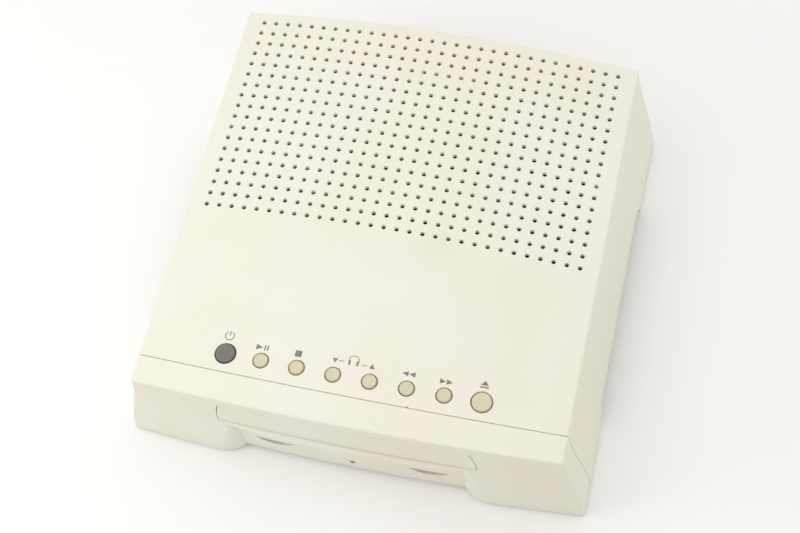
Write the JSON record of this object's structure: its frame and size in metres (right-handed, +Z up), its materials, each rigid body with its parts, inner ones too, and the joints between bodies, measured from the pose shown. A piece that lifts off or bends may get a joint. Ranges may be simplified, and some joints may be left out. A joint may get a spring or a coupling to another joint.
{
  "type": "multimedia game console",
  "caption": "Low crowned game console with a motor-driven disc tray, top buttons, a field of vent holes, flared sides, controller ports and rear sockets.",
  "frame": {"origin": "middle of the bounding box on the floor under the rubber feet", "axes": "+Z up, -Y to the front where the tray comes out, +X to the right seen from the front"},
  "size_m": [0.2688, 0.259, 0.0809],
  "materials": {
    "cream_plastic": "fine moulded texture, slightly yellowed",
    "beige_plastic": "smooth moulded",
    "grey_plastic": "smooth moulded",
    "dark_plastic": "moulded",
    "chip_plastic": "moulded",
    "white_plastic": "moulded",
    "circuit_board": "solder mask",
    "supply_circuit_board": "bare laminate",
    "transformer_tape": "tape",
    "plated_steel": "zinc plated",
    "aluminium": "extruded",
    "rubber": "matt",
    "cable_jacket": "soft jacket",
    "clear_lens": "clear"
  },
  "bodies": {
    "console": {"top_cover": "cream_plastic", "front_bezel": "cream_plastic", "base_pan": "cream_plastic", "expansion_cover": "cream_plastic", "rubber_feet": "rubber", "case_screws": "plated_steel", "button_board": "circuit_board", "button_switches": "dark_plastic", "controller_ports": "dark_plastic", "status_light": "clear_lens", "main_board": "circuit_board", "board_chips": "chip_plastic", "processor_heat_sink": "aluminium", "rom_card": "circuit_board", "memory_card": "circuit_board", "expansion_socket": "white_plastic", "board_screws": "plated_steel", "supply_board": "supply_circuit_board", "supply_transformer": "transformer_tape", "supply_capacitors": "chip_plastic", "supply_heat_sink": "aluminium", "mains_inlet": "dark_plastic", "power_cable": "dark_plastic", "rear_panel": "plated_steel", "audio_video_jacks": "dark_plastic", "round_sockets": "dark_plastic", "monitor_socket": "plated_steel", "headphone_jack": "dark_plastic", "switch_body": "plated_steel", "drive_chassis": "dark_plastic", "drive_screws": "plated_steel", "clamp_bridge": "plated_steel", "drive_belt": "rubber", "loading_motor": "plated_steel", "drive_board": "circuit_board", "drive_ribbon": "cable_jacket"},
    "tray": {"disc_tray": "white_plastic", "tray_front": "cream_plastic"},
    "power_button": {"power_button": "grey_plastic"},
    "play_button": {"play_button": "beige_plastic"},
    "stop_button": {"stop_button": "beige_plastic"},
    "volume_down_button": {"volume_down_button": "beige_plastic"},
    "volume_up_button": {"volume_up_button": "beige_plastic"},
    "rewind_button": {"rewind_button": "beige_plastic"},
    "forward_button": {"forward_button": "beige_plastic"},
    "eject_button": {"eject_button": "beige_plastic"},
    "tray_gear": {"tray_gear": "white_plastic"},
    "pulley_gear": {"pulley_gear": "white_plastic"},
    "motor_pulley": {"motor_pulley": "plated_steel"},
    "traverse": {"traverse_deck": "plated_steel", "spindle_motor": "plated_steel", "guide_rods": "plated_steel", "sled_motor": "plated_steel"},
    "turntable": {"turntable": "dark_plastic"},
    "sled": {"pickup_sled": "dark_plastic", "pickup_lens": "clear_lens"},
    "lead_screw": {"lead_screw": "plated_steel"},
    "clamp": {"clamp_puck": "white_plastic"},
    "cam": {"cam_slider": "white_plastic"},
    "display_switch": {"display_switch": "dark_plastic"}
  },
  "joints": [
    {"name": "tray_slide", "type": "slide", "parent": "console", "child": "tray", "axis": [0, -1, 0], "range_m": [0, 0.136]},
    {"name": "power_press", "type": "slide", "parent": "console", "child": "power_button", "axis": [0, 0, -1], "range_m": [0, 0.001], "stiffness_N_per_m": 250, "springref_m": -0.0005},
    {"name": "play_press", "type": "slide", "parent": "console", "child": "play_button", "axis": [0, 0, -1], "range_m": [0, 0.001], "stiffness_N_per_m": 250, "springref_m": -0.0005},
    {"name": "stop_press", "type": "slide", "parent": "console", "child": "stop_button", "axis": [0, 0, -1], "range_m": [0, 0.001], "stiffness_N_per_m": 250, "springref_m": -0.0005},
    {"name": "volume_down_press", "type": "slide", "parent": "console", "child": "volume_down_button", "axis": [0, 0, -1], "range_m": [0, 0.001], "stiffness_N_per_m": 250, "springref_m": -0.0005},
    {"name": "volume_up_press", "type": "slide", "parent": "console", "child": "volume_up_button", "axis": [0, 0, -1], "range_m": [0, 0.001], "stiffness_N_per_m": 250, "springref_m": -0.0005},
    {"name": "rewind_press", "type": "slide", "parent": "console", "child": "rewind_button", "axis": [0, 0, -1], "range_m": [0, 0.001], "stiffness_N_per_m": 250, "springref_m": -0.0005},
    {"name": "forward_press", "type": "slide", "parent": "console", "child": "forward_button", "axis": [0, 0, -1], "range_m": [0, 0.001], "stiffness_N_per_m": 250, "springref_m": -0.0005},
    {"name": "eject_press", "type": "slide", "parent": "console", "child": "eject_button", "axis": [0, 0, -1], "range_m": [0, 0.001], "stiffness_N_per_m": 250, "springref_m": -0.0005},
    {"name": "tray_gear_spin", "type": "hinge", "parent": "console", "child": "tray_gear", "pos_m": [-0.043, -0.09218, 0.054], "axis": [0, 0, 1], "range_deg": [-5, 715]},
    {"name": "pulley_spin", "type": "hinge", "parent": "console", "child": "pulley_gear", "pos_m": [-0.024, -0.09218, 0.05], "axis": [0, 0, 1], "range_deg": [-1545, 5]},
    {"name": "motor_spin", "type": "hinge", "parent": "console", "child": "motor_pulley", "pos_m": [0.006, -0.09218, 0.047], "axis": [0, 0, 1], "range_deg": [-4840, 5]},
    {"name": "traverse_lift", "type": "hinge", "parent": "console", "child": "traverse", "pos_m": [0, 0.04082, 0.048], "axis": [-1, 0, 0], "range_deg": [0, 3.92]},
    {"name": "cam_shift", "type": "slide", "parent": "console", "child": "cam", "axis": [-1, 0, 0], "range_m": [0, 0.0201]},
    {"name": "turntable_spin", "type": "hinge", "parent": "traverse", "child": "turntable", "pos_m": [0, -0.05478, 0.05347], "axis": [0, -0.0684, 0.9977], "continuous": true},
    {"name": "sled_slide", "type": "slide", "parent": "traverse", "child": "sled", "axis": [0, 0.9977, 0.0684], "range_m": [0, 0.034]},
    {"name": "lead_screw_spin", "type": "hinge", "parent": "traverse", "child": "lead_screw", "pos_m": [0.03, -0.00252, 0.05154], "axis": [0, 0.9977, 0.0684], "range_deg": [-10, 4100]},
    {"name": "clamp_spin", "type": "hinge", "parent": "console", "child": "clamp", "pos_m": [0, -0.05418, 0.07], "axis": [0, 0, 1], "continuous": true},
    {"name": "display_switch_slide", "type": "slide", "parent": "console", "child": "display_switch", "axis": [1, 0, 0], "range_m": [0, 0.004]}
  ],
  "couplings": [
    {"joint": "tray_gear_spin", "follows": "tray_slide", "rad_per_m": 90.909},
    {"joint": "pulley_spin", "follows": "tray_slide", "rad_per_m": -196.97},
    {"joint": "motor_spin", "follows": "tray_slide", "rad_per_m": -619.05},
    {"joint": "cam_shift", "follows": "traverse_lift", "m_per_rad": 0.29208},
    {"joint": "lead_screw_spin", "follows": "sled_slide", "rad_per_m": 2094.4}
  ]
}
